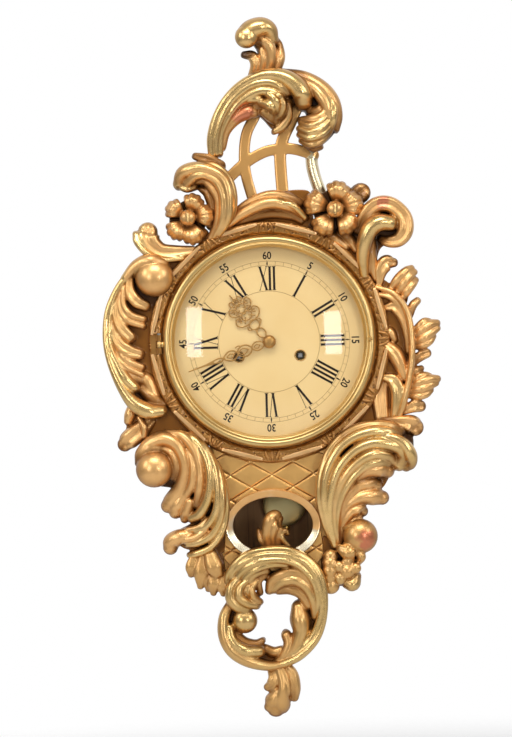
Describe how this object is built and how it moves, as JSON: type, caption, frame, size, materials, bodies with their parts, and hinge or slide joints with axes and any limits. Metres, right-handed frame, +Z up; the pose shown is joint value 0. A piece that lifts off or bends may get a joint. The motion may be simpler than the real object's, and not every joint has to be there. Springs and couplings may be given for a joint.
{
  "type": "cartel clock",
  "caption": "Carved and gilded wall clock: asymmetric scrolls, flowers and acanthus round a glazed dial, with a pendulum swinging behind an oval opening below.",
  "frame": {"origin": "on the back of the clock, against the wall, behind the middle of the dial", "axes": "+X to the right seen from the front, +Y into the wall, +Z up"},
  "size_m": [0.341, 0.0897, 0.6951],
  "materials": {
    "burnished_gilding": "burnished water gilding over bole",
    "matte_gilding": "matte gilding",
    "ground_gilding": "worn gilding over brown ground",
    "pine": "bare pine",
    "brass": "brushed",
    "gilt_brass": "polished and gilded",
    "steel": "brushed",
    "dial_cream": "aged cream enamel paint",
    "glass": "clear"
  },
  "bodies": {
    "case": {"crest_scroll": "burnished_gilding", "crest_finial": "burnished_gilding", "crest_left_scroll": "burnished_gilding", "ring_top_leaf": "burnished_gilding", "left_flower": "burnished_gilding", "right_flower": "burnished_gilding", "top_left_volute": "burnished_gilding", "top_right_volute": "burnished_gilding", "left_acanthus": "burnished_gilding", "left_lower_leaves": "burnished_gilding", "lower_left_volute": "burnished_gilding", "right_branch": "burnished_gilding", "lower_right_acanthus": "burnished_gilding", "lower_right_buds": "burnished_gilding", "apron_left_leaves": "burnished_gilding", "aperture_finial": "burnished_gilding", "pendant_scroll": "burnished_gilding", "pendant_drop": "burnished_gilding", "aperture_rim": "burnished_gilding", "carved_ring": "matte_gilding", "apron_panel": "matte_gilding", "crest_lattice": "matte_gilding", "ground_board": "ground_gilding", "back_cover": "pine", "case_box": "pine", "hanger_plate": "steel", "upper_strap": "steel", "lower_strap": "steel", "gong_rod": "steel", "gong_block": "steel", "hinge_bracket": "gilt_brass", "hinge_pin": "gilt_brass", "front_plate": "brass", "back_plate": "brass", "suspension_cock": "brass", "dial_plate": "dial_cream"},
    "bezel_door": {"bezel_ring": "gilt_brass", "bezel_glass": "glass", "bezel_pull": "gilt_brass"},
    "minute_arbor": {"centre_arbor": "brass", "cannon_pinion": "brass", "minute_hand": "gilt_brass", "hand_nut": "gilt_brass"},
    "hour_pipe": {"hour_wheel": "brass", "hour_hand": "gilt_brass"},
    "minute_wheel": {"minute_wheel": "brass"},
    "third_wheel": {"third_wheel": "brass"},
    "escape_wheel": {"escape_wheel": "brass"},
    "time_barrel": {"time_barrel": "brass"},
    "strike_barrel": {"strike_barrel": "brass"},
    "time_arbor": {"time_winding_arbor": "steel"},
    "strike_arbor": {"strike_winding_arbor": "steel"},
    "pendulum": {"suspension_spring": "steel", "pendulum_rod": "brass", "pendulum_bob": "brass", "rating_nut": "brass"},
    "anchor": {"anchor": "steel"},
    "hammer": {"hammer": "steel"}
  },
  "joints": [
    {"name": "bezel_swing", "type": "hinge", "parent": "case", "child": "bezel_door", "pos_m": [-0.1103, -0.074, 0], "axis": [0, 0, -1], "range_deg": [0, 100]},
    {"name": "minute_turn", "type": "hinge", "parent": "case", "child": "minute_arbor", "pos_m": [0, 0, 0], "axis": [0, 1, 0], "continuous": true},
    {"name": "hour_turn", "type": "hinge", "parent": "case", "child": "hour_pipe", "pos_m": [0, 0, 0], "axis": [0, 1, 0], "continuous": true},
    {"name": "minute_wheel_turn", "type": "hinge", "parent": "case", "child": "minute_wheel", "pos_m": [0.01879, 0, 0.00684], "axis": [0, 1, 0], "continuous": true},
    {"name": "third_turn", "type": "hinge", "parent": "case", "child": "third_wheel", "pos_m": [0, 0, 0.02187], "axis": [0, 1, 0], "continuous": true},
    {"name": "escape_turn", "type": "hinge", "parent": "case", "child": "escape_wheel", "pos_m": [0, 0, 0.03938], "axis": [0, 1, 0], "continuous": true},
    {"name": "time_barrel_turn", "type": "hinge", "parent": "case", "child": "time_barrel", "pos_m": [0.03089, 0, -0.0145], "axis": [0, 1, 0], "continuous": true},
    {"name": "strike_barrel_turn", "type": "hinge", "parent": "case", "child": "strike_barrel", "pos_m": [-0.03089, 0, -0.0145], "axis": [0, 1, 0], "continuous": true},
    {"name": "time_winding", "type": "hinge", "parent": "case", "child": "time_arbor", "pos_m": [0.03089, 0, -0.0145], "axis": [0, 1, 0], "continuous": true},
    {"name": "strike_winding", "type": "hinge", "parent": "case", "child": "strike_arbor", "pos_m": [-0.03089, 0, -0.0145], "axis": [0, 1, 0], "continuous": true},
    {"name": "pendulum_swing", "type": "hinge", "parent": "case", "child": "pendulum", "pos_m": [0, 0, 0.05717], "axis": [0, 1, 0], "range_deg": [-1.4, 7]},
    {"name": "anchor_rock", "type": "hinge", "parent": "case", "child": "anchor", "pos_m": [0, 0, 0.05717], "axis": [0, 1, 0], "range_deg": [-1.4, 7]},
    {"name": "hammer_swing", "type": "hinge", "parent": "case", "child": "hammer", "pos_m": [-0.05, 0, 0.036], "axis": [0, 1, 0], "range_deg": [-15, 1]}
  ],
  "couplings": [
    {"joint": "hour_turn", "follows": "minute_turn", "ratio": 0.083333},
    {"joint": "minute_wheel_turn", "follows": "minute_turn", "ratio": -0.33333},
    {"joint": "third_turn", "follows": "minute_turn", "ratio": -4},
    {"joint": "escape_turn", "follows": "minute_turn", "ratio": 16},
    {"joint": "time_barrel_turn", "follows": "minute_turn", "ratio": -0.25},
    {"joint": "anchor_rock", "follows": "pendulum_swing", "ratio": 1}
  ]
}
